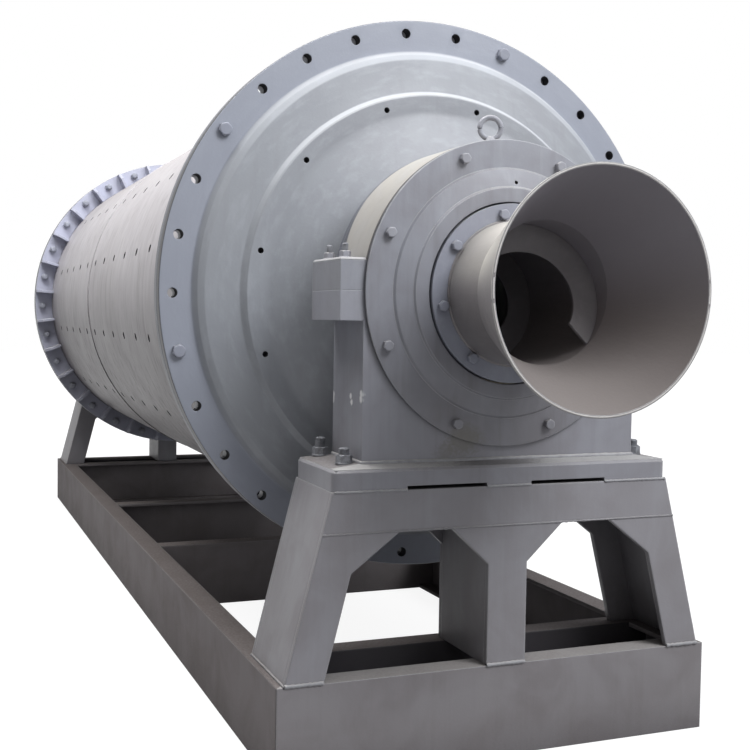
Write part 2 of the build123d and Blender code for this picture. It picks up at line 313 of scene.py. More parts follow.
def paint(name, look):
    coat = Coat(name, look)
    agedPaint(coat)
    for key, layer in ownLayers:
        if look[key]:
            layer(coat)
    creaseShadeAndSpots(coat)
    rubbedEdges(coat)
    roughness = look["roughness"] + (coat.blotch - 0.5) * look["swing"]
    roughness = roughness + coat.settled * look["dustRough"] + coat.fine * look["fineRough"]
    height = coat.fine * look["grit"] + coat.streak * look["brush"] + coat.blotch * look["wave"]
    relief = {"Strength": look["relief"], "Distance": look["bump"], "Height": height, "Normal": coat.soft}
    return coat.tree.finish(coat.tree.node("BsdfPrincipled", None, {
        "Base Color": coat.colour, "Roughness": roughness.clamped(),
        "Normal": coat.tree.node("Bump", None, relief), "Specular IOR Level": look["shine"],
    }))


# Every finish starts from this one; a layer at 0 is left out.
plainPaint = {
    "colour": (152, 156, 166), "dark": (132, 135, 145), "light": (172, 176, 185),
    "warmColour": (157, 153, 154), "warm": 0.15, "blotchScale": 6, "blotch": 0.6, "streak": 0.28,
    "grain": "upright", "dustColour": (206, 201, 192), "dust": 0.4,
    "litCream": 0, "litCreamColour": (170, 166, 158), "litCreamReach": (-0.1, 0.35), "litCreamPlain": 1,
    # the colour of a cap's rear crescent is painted shade
    "joint": 0, "rearShadeColour": (72, 75, 86), "jointColour": (52, 50, 50),
    "grimeAndShadeColour": (96, 88, 84), "grimeAndLowShade": 0.2, "grimeShadeLow": 0.0, "grimeShadeTop": 0.8,
    "inside": 0, "insideColour": (130, 122, 120), "insideLitTop": (158, 155, 163),
    "band": 0, "bandReach": (0.608, 0.616), "bandColour": (153, 158, 173),
    "highlightRidges": [], "ridgeHighlight": 0.6, "ridgeHighlightColour": (206, 210, 216),
    "slopeLight": 0, "slopeLightReach": (1.953, 1.958), "slopeLightColour": (176, 175, 175),
    "shade": 0, "shadeReach": (0.5, 1.2), "shadeColour": (60, 58, 62),
    "rim": 0, "rimShadeReach": (0.6885, 0.6895), "rimShadeColour": (92, 94, 97),
    "creaseShadeReach": 0.10, "creaseShade": 0.6, "creaseShadeColour": (62, 58, 60), "spots": [],
    "edge": 0.003, "rubColour": (208, 210, 212), "rub": 0.7,
    "roughness": 0.44, "swing": 0.18, "dustRough": 0.25, "fineRough": 0.06, "shine": 0.5,
    "grit": 0.2, "brush": 0.35, "wave": 0.6, "relief": 0.6, "bump": 0.0018,
}
# place, radius, colour and strength of each chip or stain
housingSpots = [
    ((-0.338, -1.773, 0.796), 0.010, (222, 222, 224), 1.0),
    ((-0.338, -1.773, 0.784), 0.008, (222, 222, 224), 1.0),
    ((-0.338, -1.884, 0.800), 0.008, (238, 238, 240), 1.0),
    ((-0.338, -1.890, 0.787), 0.008, (238, 238, 240), 1.0),
    ((-0.338, -1.948, 0.809), 0.008, (236, 236, 238), 1.0),
    ((-0.338, -1.946, 0.797), 0.009, (236, 236, 238), 1.0),
    ((-0.100, -1.955, 0.702), 0.060, (88, 82, 60), 0.45),
    ((-0.138, -1.955, 0.676), 0.040, (84, 76, 56), 0.35),
]
# a painted shadow of the trumpet over the middle of the sole's front strip
soleShadowSpot = [((-0.02, -1.968, 0.655), 0.20, (98, 96, 99), 0.75)]
bearingGrimeAndShade = {"grimeShadeLow": 0.55, "grimeShadeTop": 1.2, "grimeAndShadeColour": (84, 77, 76)}
beamPaint = {
    "colour": (140, 135, 137), "dark": (122, 116, 116), "light": (152, 148, 149), "streak": 0.12,
    "grimeAndLowShade": 0.3, "grimeShadeTop": 0.2, "roughness": 0.66, "dust": 0.85, "shine": 0.1,
    "creaseShade": 0.8, "creaseShadeReach": 0.25, "creaseShadeColour": (44, 42, 48),
}
paints = {
    "head": {
        "colour": (156, 160, 167), "dark": (140, 143, 151), "light": (182, 186, 194), "grain": "round",
        "streak": 0.3, "blotch": 0.45, "blotchScale": 4, "brush": 0.5, "wave": 1.0, "rub": 0.2,
        "grimeAndLowShade": 0.25, "grimeShadeLow": 0.2, "grimeShadeTop": 1.0, "rim": 0.95, "rimShadeColour": (30, 31, 36),
        # the head's ridges get a painted highlight
        "band": 0.7, "highlightRidges": [(0.600, 0.016), (0.502, 0.006)],
    },
    "flange": {
        "colour": (150, 154, 168), "dark": (134, 137, 150), "grain": "round", "streak": 0.2, "brush": 0.15,
        "rim": 0.8, "rimShadeColour": (96, 98, 104), "rub": 0.3, "creaseShade": 0.3, "creaseShadeReach": 0.05,
    },
    # the feed ring is painted lighter than the flange paint, as painted light in its shaded bays
    "ring": {
        "colour": (179, 182, 200), "dark": (161, 164, 181), "light": (190, 193, 209),
        "rim": 0.5, "creaseShade": 0.2, "creaseShadeReach": 0.04,
    },
    "shell": {
        "colour": (196, 193, 198), "dark": (180, 176, 181), "light": (212, 209, 213), "grain": "rolled",
        "streak": 0.6, "warm": 0.25, "dust": 0.85, "dustColour": (156, 152, 152),
        # the shell's strong darkening towards the floor is painted shade on its underside
        "grimeAndLowShade": 1.0, "grimeShadeLow": 0.72, "grimeShadeTop": 1.2, "grimeAndShadeColour": (54, 46, 49),
        "roughness": 0.40, "creaseShade": 0.25, "shine": 0.25,
    },
    "bearing": {
        "colour": (157, 159, 169), "dark": (135, 134, 141), "spots": housingSpots, "warm": 0.1, "rub": 0.45,
        "grimeAndLowShade": 0.38, **bearingGrimeAndShade,
    },
    "cover": {
        "colour": (148, 151, 161), "dark": (126, 125, 132), "spots": housingSpots, "warm": 0.1, "rub": 0.9,
        "creaseShade": 0.15, "grimeAndLowShade": 0.6, **bearingGrimeAndShade,
    },
    "cap": {
        # the cap's cream top is painted light
        "colour": (150, 153, 163), "dark": (128, 127, 134), "litCream": 0.85, "dust": 0.1, "rub": 0.45,
        "joint": 0.9, "grimeAndLowShade": 0.35, **bearingGrimeAndShade,
    },
    # the inner cover is painted dark, as painted shade behind the cap
    "shadedRearCover": {"colour": (92, 95, 106), "dark": (80, 82, 92), "rub": 0.1, "dust": 0.1},
    "sole": {
        "colour": (148, 147, 153), "dark": (126, 123, 127), "warm": 0.4, "dust": 0.8,
        # the sole's front slope is painted lighter, as painted light
        "dustColour": (120, 115, 113), "rub": 0.4, "grimeAndLowShade": 0.3, "slopeLight": 0.9, "spots": soleShadowSpot,
    },
    "stand": {
        "colour": (148, 147, 153), "dark": (130, 127, 131), "streak": 0.15, "grimeAndLowShade": 0.25, "shine": 0.35,
        "creaseShade": 0.9, "creaseShadeReach": 0.22, "creaseShadeColour": (50, 48, 52), "rub": 0.3, "edge": 0.006,
    },
    "frame": {**beamPaint, "dustColour": (106, 99, 96), "rub": 0.25, "edge": 0.008},
    # the stand beams' shut-in faces are painted dark, as painted shade
    "innerBeam": {**beamPaint, "dustColour": (112, 105, 102), "rub": 0.15, "edge": 0.006, "shade": 0.9},
    "frontBeam": {
        **beamPaint, "colour": (142, 139, 142), "dark": (124, 119, 121), "light": (154, 151, 153),
        "grimeAndLowShade": 0.25, "dust": 0.3, "shine": 0.15, "rub": 0.6, "creaseShadeReach": 0.2,
    },
    "trumpet": {
        "colour": (134, 130, 131), "dark": (116, 112, 114), "light": (152, 148, 147), "grain": "round",
        # the trumpet's cream on its upper flare is painted light
        "litCream": 1.0, "litCreamReach": (-0.1, 0.4), "litCreamColour": (226, 223, 214), "litCreamPlain": 0.3,
        "roughness": 0.42, "rub": 0.9, "inside": 0.85,
        "creaseShade": 0.3, "creaseShadeReach": 0.3, "creaseShadeColour": (64, 68, 84),
    },
    "bead": {
        "colour": (160, 161, 166), "dark": (134, 134, 139), "light": (184, 185, 188), "grain": "round",
        "blotchScale": 60, "wave": 1.0, "creaseShade": 0.2,
    },
    "rimEdge": {
        "colour": (216, 213, 209), "dark": (186, 183, 180), "light": (230, 228, 224), "grain": "round",
        "blotchScale": 30, "warm": 0, "grimeAndLowShade": 0, "creaseShade": 0.1,
    },
}
finishes = {name: paint(name + "Paint", {**plainPaint, **look}) for name, look in paints.items()}

# Bare metal, and the walls and floors of sunk holes painted near black as painted shade
rawFinishes = {
    "pocket": {"scale": 60, "colour": (38, 38, 44), "stain": (60, 58, 62), "metal": 0.0, "roughness": 0.7},
    "stud": {
        "scale": 90, "colour": (132, 134, 140), "stain": (102, 103, 108), "metal": 0.25, "roughness": 0.42,
    },
    "bush": {
        "scale": 30, "colour": (168, 160, 146), "stain": (132, 122, 108), "metal": 0.8, "roughness": 0.3,
    },
}


def rawFinish(name, look):
    t = Tree(bpy.data.materials.new(name))
    place = t.place()
    worn = t.clouds(place, look["scale"], 3, 0.6)
    grit = t.clouds(place, 500, 2)
    stained = worn.over(0.42, 0.66)
    bump = t.node("Bump", None, {"Strength": 0.5, "Distance": 0.0006, "Height": grit + worn})
    return t.finish(t.node("BsdfPrincipled", None, {
        "Base Color": t.mixed(stained, rgb(*look["colour"]), rgb(*look["stain"])),
        "Metallic": look["metal"] - stained * look["metal"] * 0.6,
        "Roughness": worn * 0.25 + look["roughness"], "Normal": bump,
    }))


for name, look in rawFinishes.items():
    finishes[name] = rawFinish(name + "Finish", look)
print("stage: finishes made")

# The first word that a node's name holds gives its finish.
nodeFinishes = (
    ("bush", "bush"), ("discharge_end_beam", "frontBeam"), ("stand_beam", "innerBeam"), ("beam", "frame"),
    ("head", "head"), ("feed_shell_flange", "ring"), ("shell_flange", "flange"), ("tube_flange", "flange"),
    ("trumpet", "trumpet"), ("tube", "trumpet"), ("flight", "trumpet"), ("shell", "shell"),
    ("bearing_cap", "cap"), ("bearing", "bearing"), ("inner_cover", "shadedRearCover"), ("cover", "cover"),
    ("", "stand"),
)
for name, node in cadNodes.items():
    chosen = next(finish for word, finish in nodeFinishes if word in name)
    node.data.materials.clear()
    node.data.materials.append(finishes[chosen])


def ladder(rings, sides, closed=False):
    # faces between rings of points; closed joins the last ring to the first
    faces = []
    for ring in range(rings if closed else rings - 1):
        low = ring * sides
        high = (ring + 1) % rings * sides
        for corner in range(sides):
            after = (corner + 1) % sides
            faces.append([low + corner, low + after, high + after, high + corner])
    return faces


# Points and faces are gathered here, then made into one piece.
class Shape:
    def __init__(self):
        self.points = []
        self.faces = []
        self.marks = []

    def add(self, points, faces, place=None, mark=0):
        start = len(self.points)
        self.points += [(place @ Vector(p)) if place else Vector(p) for p in points]
        self.faces += [[start + index for index in face] for face in faces]
        self.marks += [mark] * len(faces)
        return self

    def lathe(self, profile, steps, place=None, mark=0, closed=False):
        # radius and height pairs, turned about the local Z axis
        count = len(profile)
        points = []
        for step in range(steps):
            turn = 2 * math.pi * step / steps
            points += [(r * math.cos(turn), r * math.sin(turn), h) for r, h in profile]
        faces = []
        for step in range(steps):
            following = (step + 1) % steps
            for index in range(count if closed else count - 1):
                after = (index + 1) % count
                corners = [step * count + index, following * count + index,
                           following * count + after, step * count + after]
                if profile[index][0] == 0:
                    corners.pop(1)
                elif profile[after][0] == 0:
                    corners.pop(2)
                faces.append(corners)
        return self.add(points, faces, place, mark)

    def tube(self, path, radius, sides=8, closed=False, wobble=0.0, ripple=160):
        # a bar or bead along a path; wobble makes a bead uneven
        count = len(path)
        points = []
        for index, point in enumerate(path):
            before = path[(index - 1) % count if closed else max(index - 1, 0)]
            after = path[(index + 1) % count if closed else min(index + 1, count - 1)]
            along = (after - before).normalized()
            side = along.cross(Vector((0, 0, 1)))
            if side.length < 0.1:
                side = along.cross(Vector((0, 1, 0)))
            side.normalize()
            lift = side.cross(along)
            swell = radius * (1 + wobble * noise.noise(point * ripple) + wobble * (index % 2))
            for corner in range(sides):
                turn = 2 * math.pi * corner / sides
                points.append(point + (side * math.cos(turn) + lift * math.sin(turn)) * swell)
        faces = ladder(count, sides, closed)
        if not closed:
            faces.append(list(range(sides))[::-1])
            faces.append([(count - 1) * sides + corner for corner in range(sides)])
        return self.add(points, faces)

    def piece(self, name, body, slotName, finish, sharp=35, merge=True):
        mesh = bpy.data.meshes.new(name)
        mesh.from_pydata(self.points, [], self.faces)
        made = bpy.data.objects.new(name, mesh)
        bpy.context.scene.collection.objects.link(made)
        for one in (finish if isinstance(finish, list) else [finish]):
            mesh.materials.append(finishes[one])
        mesh.polygons.foreach_set("material_index", self.marks)
        if merge:
            work = bmesh.new()
            work.from_mesh(mesh)
            bmesh.ops.remove_doubles(work, verts=work.verts, dist=1e-6)
            bmesh.ops.recalc_face_normals(work, faces=work.faces)
            work.to_mesh(mesh)
            work.free()
        shadeSmooth(mesh, sharp)
        if body:
            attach(made, body)
        return made


def shadeSmooth(mesh, sharp):
    mesh.polygons.foreach_set("use_smooth", [True] * len(mesh.polygons))
    mesh.set_sharp_from_angle(angle=math.radians(sharp))


def outward(turn):
    # away from the mill axis, turned in degrees from the top towards -X
    return Vector((-math.sin(math.radians(turn)), 0, math.cos(math.radians(turn))))


def onAxis(radius, turn, station):
    return outward(turn) * radius + Vector((0, station, axisHeight))


def standing(point, normal, across=(0, 0, 1)):
    # a frame whose Z stands on a surface
    up = Vector(normal).normalized()
    side = Vector(across).cross(up)
    side = side.normalized() if side.length > 0.01 else Vector((1, 0, 0)).cross(up).normalized()
    made = Matrix((side, up.cross(side), up)).transposed().to_4x4()
    made.translation = Vector(point)
    return made


def onFace(radius, turn, station, facing):
    return standing(onAxis(radius, turn, station), (0, facing, 0), outward(turn))


def upright(x, y, z):
    return standing((x, y, z), (0, 0, 1), (0, 1, 0))


def eased(corners, bends, steps=5):
    # a profile whose corners are rounded, each by its own radius
    made = []
    count = len(corners)
    for index, corner in enumerate(corners):
        bend = bends.get(index, 0)
        if not bend:
            made.append(tuple(corner))
            continue
        here = Vector(corner)
        before = (Vector(corners[index - 1]) - here).normalized()
        after = (Vector(corners[(index + 1) % count]) - here).normalized()
        half = before.angle(after) / 2
        reach = bend / math.tan(half)
        centre = here + (before + after).normalized() * (bend / math.sin(half))
        first = here + before * reach - centre
        last = here + after * reach - centre
        sweep = first.angle(last)
        for step in range(steps + 1):
            share = step / steps
            arm = (first * math.sin((1 - share) * sweep) + last * math.sin(share * sweep)) / math.sin(sweep)
            made.append(tuple(centre + arm))
    return made


# Hexagon heads and nuts: how their tops are crowned, in shares of their width
hexLook = {"crown": 0.9, "cornerDrop": 0.09, "flatDrop": 0.02}
threadLook = {"pitch": 0.0025, "root": 0.87, "tip": 0.7, "start": 0.9, "sides": 20}


def hexagon(shape, place, flats, height, lift=0.0):
    apothem = flats / 2
    corner = apothem / math.cos(math.pi / 6)
    crown = apothem * hexLook["crown"]
    rings = [[], [], []]
    for index in range(12):
        turn = math.pi * index / 6
        reach = corner if index % 2 == 0 else apothem
        drop = flats * hexLook["cornerDrop" if index % 2 == 0 else "flatDrop"]
        rings[0].append((reach * math.cos(turn), reach * math.sin(turn), lift))
        rings[1].append((reach * math.cos(turn), reach * math.sin(turn), lift + height - drop))
        rings[2].append((crown * math.cos(turn), crown * math.sin(turn), lift + height))
    faces = ladder(3, 12)
    faces.append([24 + index for index in range(12)])
    faces.append([index for index in range(12)][::-1])
    spin = Matrix.Rotation(random.uniform(0, 1), 4, "Z")
    shape.add(rings[0] + rings[1] + rings[2], faces, place @ spin)


def disc(shape, place, radius, thick, ease=0.0008):
    shape.lathe([(0, 0), (radius, 0), (radius, thick - ease), (radius - ease, thick), (0, thick)], 24, place)


def threaded(shape, place, radius, start, end, mark=0):
    look = threadLook
    pitch = look["pitch"]
    profile = [(0, start), (radius * look["start"], start)]
    level = start
    while level < end - pitch:
        profile += [(radius, level + pitch * 0.4), (radius, level + pitch * 0.6)]
        level += pitch
        profile.append((radius * look["root"], level))
    shape.lathe(profile + [(radius * look["tip"], end), (0, end)], look["sides"], place, mark)


def turnedCasting(name, look, holes):
    # a casting turned about the mill axis, with round holes drilled in it
    shape = Shape()
    profile = eased([(r, s) for s, r in look["line"]], look["bends"])
    shape.lathe(profile, look["steps"], standing((0, 0, axisHeight), (0, look["end"], 0)), closed=True)
    made = shape.piece(name, look["body"], look["slot"], [look["finish"], "pocket"], look["sharp"])
    cutter = Shape()
    clear = 0.03  # how far a drill stands out of the face
    for place, radius, depth in holes:
        cutter.lathe([(0, -depth), (radius, -depth), (radius, clear), (0, clear)], 24, place)
    tool = cutter.piece("drill", None, None, "pocket")
    cut = made.modifiers.new("drilled", "BOOLEAN")
    cut.object = tool
    cut.solver = "EXACT"
    cut.operation = "DIFFERENCE"
    bpy.context.view_layer.update()
    drilled = bpy.data.meshes.new_from_object(made.evaluated_get(bpy.context.evaluated_depsgraph_get()))
    made.modifiers.clear()
    made.data = drilled
    bpy.data.objects.remove(tool)
    shadeSmooth(drilled, look["sharp"])
    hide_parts(look["node"])


# Shell plate, with its rows of liner-bolt holes sunk in it
shellLook = {
    "rows": 15, "firstTurn": 77.8, "perRow": 13, "firstStation": -1.371, "pitch": 0.214,
    "hole": 0.0105, "ease": 0.0015, "depth": 0.012, "sides": 24, "rings": 5, "spread": 1.5, "inner": 0.600,
}


def onShell(turn, station, radius):
    return Vector((-math.sin(turn) * radius, station, math.cos(turn) * radius + axisHeight))


def cellSquare(corner, turn, station):
    # the outline of the plate that belongs to one hole
    look = shellLook
    perSide = look["sides"] // 4
    side, step = divmod(corner, perSide)
    share = step / perSide * 2 - 1
    a, b = [(share, -1), (1, share), (-share, 1), (-1, -share)][side]
    return turn + a * math.pi / look["rows"], station + b * look["pitch"] / 2


def cellCircle(corner, turn, station, radius):
    angle = math.radians(-135) + 2 * math.pi * corner / shellLook["sides"]
    return turn + radius * math.cos(angle) / shellRadius, station + radius * math.sin(angle)


def shellCell(shape, normals, turn, station):
    look = shellLook
    sides = look["sides"]
    edge = look["hole"] + look["ease"]
    points = []
    for ring in range(look["rings"] + 1):
        share = (ring / look["rings"]) ** look["spread"]
        for corner in range(sides):
            a, b = cellCircle(corner, turn, station, edge)
            c, d = cellSquare(corner, turn, station)
            points.append(onShell(a + (c - a) * share, b + (d - b) * share, shellRadius))
    shape.add(points, ladder(look["rings"] + 1, sides))
    normals += [Vector((p.x, 0, p.z - axisHeight)).normalized() for p in points]
    # the hole: an eased edge, a wall and a floor
    points = []
    for radius, depth in ((edge, 0), (look["hole"], look["ease"]), (look["hole"], look["depth"])):
        for corner in range(sides):
            a, b = cellCircle(corner, turn, station, radius)
            points.append(onShell(a, b, shellRadius - depth))
    faces = [face[::-1] for face in ladder(3, sides)]
    faces.append([2 * sides + corner for corner in range(sides)][::-1])
    shape.add(points, faces, None, 1)
    centre = onShell(turn, station, shellRadius)
    normals += [(centre - p).normalized() for p in points]


def shellRims(shape, normals, lowEnd, highEnd):
    # the plain ends, the rims and the inside
    look = shellLook
    inner = look["inner"]
    steps = look["rows"] * look["sides"] // 4
    start = math.radians(look["firstTurn"]) - math.pi / look["rows"]
    for stationA, radiusA, stationB, radiusB, facing in (
        (-shellEnd, shellRadius, lowEnd, shellRadius, 1), (highEnd, shellRadius, shellEnd, shellRadius, 1),
        (shellEnd, shellRadius, shellEnd, inner, 0), (shellEnd, inner, -shellEnd, inner, -1),
        (-shellEnd, inner, -shellEnd, shellRadius, 0),
    ):
        points, faces = [], []
        for step in range(steps):
            turn = start + 2 * math.pi * step / steps
            points += [onShell(turn, stationA, radiusA), onShell(turn, stationB, radiusB)]
            after = (step + 1) % steps
            faces.append([2 * step, 2 * step + 1, 2 * after + 1, 2 * after])
            arm = Vector((-math.sin(turn), 0, math.cos(turn))) * facing
            if not facing:
                arm = Vector((0, math.copysign(1, stationA), 0))
            normals += [arm, arm]
        shape.add(points, faces)


def shellPlate():
    look = shellLook
    shape = Shape()
    normals = []
    stations = [look["firstStation"] + index * look["pitch"] for index in range(look["perRow"])]
    for row in range(look["rows"]):
        turn = math.radians(look["firstTurn"]) + row * 2 * math.pi / look["rows"]
        for station in stations:
            shellCell(shape, normals, turn, station)
    shellRims(shape, normals, stations[0] - look["pitch"] / 2, stations[-1] + look["pitch"] / 2)
    made = shape.piece("shellPlate", "drum", "shell_paint", ["shell", "pocket"], 180, merge=False)
    made.data.normals_split_custom_set_from_vertices([tuple(n) for n in normals])
    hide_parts("shell")


shellPlate()
print("stage: shell plate made")


# Heads and covers, eased like the castings and drilled. A line gives stations and radii; bends are by corner.
headLook = {
    "line": [(1.510, 0.690), (1.540, 0.690), (1.540, 0.614), (1.557, 0.6030), (1.5675, 0.588), (1.582, 0.507),
             (1.600, 0.494), (1.600, 0.446), (1.716, 0.222), (1.738, 0.190), (1.965, 0.190), (1.965, 0.160),
             (1.698, 0.160), (1.560, 0.446), (1.510, 0.581)],
    "bends": {0: 0.003, 1: 0.003, 2: 0.005, 3: 0.012, 4: 0.012, 5: 0.006, 6: 0.003, 7: 0.045, 8: 0.06,
              9: 0.02, 10: 0.002},
    "steps": 240, "sharp": 24, "body": "drum", "slot": "head_paint", "finish": "head",
    "boltCircle": 0.658, "boltFace": 1.540, "boltHole": 0.012, "boltDepth": 0.04, "boltTurn": 6.5,
    "boltCount": 30,
    "linerCircle": 0.472, "linerFace": 1.600, "linerHole": 0.007, "linerDepth": 0.02, "linerTurn": 18.2,
    "linerCount": 12,
}
coverLook = {
    "line": [(1.955, 0.201), (1.955, 0.322), (1.9608, 0.322), (1.9608, 0.338), (1.965, 0.338),
             (1.965, 0.276), (1.9705, 0.271), (1.9785, 0.2345), (1.984, 0.2305), (1.984, 0.1995),
             (1.976, 0.1995), (1.974, 0.201)],
    "bends": {4: 0.0015, 6: 0.001, 8: 0.001, 9: 0.002},
    "steps": 180, "sharp": 24, "body": "stand", "slot": "bearing_paint", "finish": "cover",
    "greaseCircle": 0.2435, "greaseFace": 1.9775, "greaseHole": 0.004, "greaseDepth": 0.012,
    "greaseTurn": -1.9, "greaseCount": 1,
}


def holeRow(look, kind, end):
    made = []
    for index in range(look[kind + "Count"]):
        turn = look[kind + "Turn"] + index * 360 / look[kind + "Count"]
        place = onFace(look[kind + "Circle"], turn, end * look[kind + "Face"], end)
        made.append((place, look[kind + "Hole"], look[kind + "Depth"]))
    return made


for end, name in ((-1, "discharge"), (1, "feed")):
    holes = holeRow(headLook, "liner", end) + (holeRow(headLook, "bolt", end) if end < 0 else [])
    turnedCasting(name + "HeadCasting", {**headLook, "end": end, "node": name + "_head"}, holes)
    holes = holeRow(coverLook, "grease", end)
    turnedCasting(name + "CoverCasting", {**coverLook, "end": end, "node": name + "_outer_cover"}, holes)
print("stage: castings made")


# Bolts of the shell joints, the covers and the tube flange
boltLook = {
    "jointFlats": 0.029, "jointHead": 0.013, "jointNut": 0.018, "jointStud": 0.011, "jointStudEnd": 0.012,
    "jointNutFace": 1.480, "jointPitch": 12, "dischargeBays": (4, 8, -2), "feedTurn": 8,
    "coverCircle": 0.310, "coverFlats": 0.021, "coverHead": 0.013,
    "coverTurns": (21.6, 66.6, 112.0, 157.0, 200.4, 246.0, 291.5, 336.8),
    "tubeCircle": 0.173, "tubeFlats": 0.021, "tubeHead": 0.011, "tubeTurn": 10, "tubeCount": 8,
}


def jointBolts(name, end, turns):
    look = boltLook
    shape = Shape()
    for turn in turns:
        head = onFace(headLook["boltCircle"], turn, end * headLook["boltFace"], end)
        hexagon(shape, head, look["jointFlats"], look["jointHead"])
        nut = onFace(headLook["boltCircle"], turn, end * look["jointNutFace"], -end)
        hexagon(shape, nut, look["jointFlats"], look["jointNut"])
        threaded(shape, nut, look["jointStud"], look["jointNut"], look["jointNut"] + look["jointStudEnd"])
    shape.piece(name, "drum", "flange_paint", "flange", 30)


def coverBolts(name, end):
    shape = Shape()
    for turn in boltLook["coverTurns"]:
        place = onFace(boltLook["coverCircle"], turn, end * coverFace, end)
        hexagon(shape, place, boltLook["coverFlats"], boltLook["coverHead"])
    shape.piece(name, "stand", "bearing_paint", "bearing", 30)


def tubeBolts(name):
    look = boltLook
    shape = Shape()
    for index in range(look["tubeCount"]):
        turn = look["tubeTurn"] + index * 360 / look["tubeCount"]
        hexagon(shape, onFace(look["tubeCircle"], turn, tubeLow.y, -1), look["tubeFlats"], look["tubeHead"])
    shape.piece(name, "drum", "flange_paint", "flange", 30)


pitch = boltLook["jointPitch"]
dischargeTurns = [headLook["boltTurn"] + pitch * bay for bay in boltLook["dischargeBays"]]
feedTurns = [boltLook["feedTurn"] + pitch * bay for bay in range(headLook["boltCount"])]
jointBolts("dischargeJointBolts", -1, dischargeTurns)
jointBolts("feedJointBolts", 1, feedTurns)
coverBolts("dischargeCoverBolts", -1)
coverBolts("feedCoverBolts", 1)
tubeBolts("dischargeTubeBolts")


# Studs through the soles, bolts on the cap lugs and the lifting eyes
fixingLook = {
    "studX": 0.365, "studReach": (-0.0985, 0.0575), "studTops": (0.042, 0.035), "studRadius": 0.012,
    "seat": 0.006, "washerRadius": 0.0195, "washer": 0.004, "flats": 0.032, "nut": 0.017,
    "lugX": 0.366, "lugReach": 0.050, "lugTop": 0.0695, "lugWasherRadius": 0.0135, "lugWasher": 0.002,
    "lugFlats": 0.0215, "lugNut": 0.013, "lugStudRadius": 0.0068, "lugStud": 0.032,
    "eyeHeight": 0.377, "eyeRadius": 0.0240, "eyeBar": 0.0062, "eyeTurn": 21, "eyeSteps": 40,
    "collarHeight": 0.344,
    "collar": [(0, 0), (0.016, 0), (0.016, 0.003), (0.012, 0.007), (0.009, 0.012), (0, 0.016)],
}


def soleStud(shape, place, top):
    look = fixingLook
    disc(shape, place, look["washerRadius"], look["washer"])
    hexagon(shape, place, look["flats"], look["nut"], look["washer"])
    threaded(shape, place, look["studRadius"], look["washer"] + look["nut"], top)


def capBolt(shape, place):
    look = fixingLook
    disc(shape, place, look["lugWasherRadius"], look["lugWasher"])
    hexagon(shape, place, look["lugFlats"], look["lugNut"], look["lugWasher"])
    threaded(shape, place, look["lugStudRadius"], look["lugWasher"] + look["lugNut"], look["lugStud"], 1)


def liftingEye(name, end):
    look = fixingLook
    shape = Shape()
    twist = math.radians(look["eyeTurn"])
    across = Vector((math.cos(twist), -math.sin(twist), 0))
    centre = Vector((0, end * bearingStation, axisHeight + look["eyeHeight"]))
    ring = []
    for step in range(look["eyeSteps"]):
        turn = 2 * math.pi * step / look["eyeSteps"]
        ring.append(centre + (across * math.cos(turn) + Vector((0, 0, math.sin(turn)))) * look["eyeRadius"])
    shape.tube(ring, look["eyeBar"], 12, closed=True)
    shape.lathe(look["collar"], 28, upright(0, end * bearingStation, axisHeight + look["collarHeight"]))
    shape.piece(name, "stand", "bearing_paint", "bearing", 40)


def bearingFixings(name, end):
    look = fixingLook
    studs, lugs = Shape(), Shape()
    for side in (-1, 1):
        for reach, top in zip(look["studReach"], look["studTops"]):
            station = end * (bearingStation + reach)
            soleStud(studs, upright(side * look["studX"], station, soleTop + look["seat"]), top)
        for reach in (-look["lugReach"], look["lugReach"]):
            station = end * (bearingStation + reach)
            capBolt(lugs, upright(side * look["lugX"], station, axisHeight + look["lugTop"]))
    studs.piece(name + "SoleStuds", "stand", "bearing_paint", "stud", 30)
    lugs.piece(name + "CapBolts", "stand", "bearing_paint", ["bearing", "stud"], 30)
    liftingEye(name + "LiftingEye", end)


bearingFixings("discharge", -1)
bearingFixings("feed", 1)
print("stage: fasteners made")


def roundPath(radius, station, steps):
    return [onAxis(radius, 360 * step / steps, station) for step in range(steps)]


def straightPath(first, last, spacing=0.006):
    first, last = Vector(first), Vector(last)
    steps = max(int((last - first).length / spacing), 2)
    return [first.lerp(last, step / steps) for step in range(steps + 1)]


# Round weld beads, and the wire edge of the trumpet
roundWelds = {
    "neck": {"radius": 0.1572, "off": 0.001, "bead": 0.0036, "steps": 150, "wobble": 0.15},
    "mouth": {"radius": 0.2398, "in": 0.0028, "wire": 0.0032, "steps": 160},
    "seam": {"radius": 0.6140, "station": 0.222, "bead": 0.0026, "steps": 520, "wobble": 0.25},
    "flange": {"radius": 0.6150, "station": -1.4785, "bead": 0.0040, "steps": 420, "wobble": 0.2},
}


def drumWelds():
    neck, mouth = roundWelds["neck"], roundWelds["mouth"]
    shape = Shape()
    path = roundPath(neck["radius"], tubeLow.y - neck["off"], neck["steps"])
    shape.tube(path, neck["bead"], 8, True, neck["wobble"])
    shape.piece("trumpetWelds", "drum", "trumpet_paint", "trumpet", 60)
    shape = Shape()
    path = roundPath(mouth["radius"], hornLow.y + mouth["in"], mouth["steps"])
    shape.tube(path, mouth["wire"], 10, True)
    shape.piece("trumpetRim", "drum", "trumpet_paint", "rimEdge", 60)
    shape = Shape()
    for weld in (roundWelds["seam"], roundWelds["flange"]):
        path = roundPath(weld["radius"], weld["station"], weld["steps"])
        shape.tube(path, weld["bead"], 6, True, weld["wobble"])
    shape.piece("shellWelds", "drum", "shell_paint", "shell", 60)


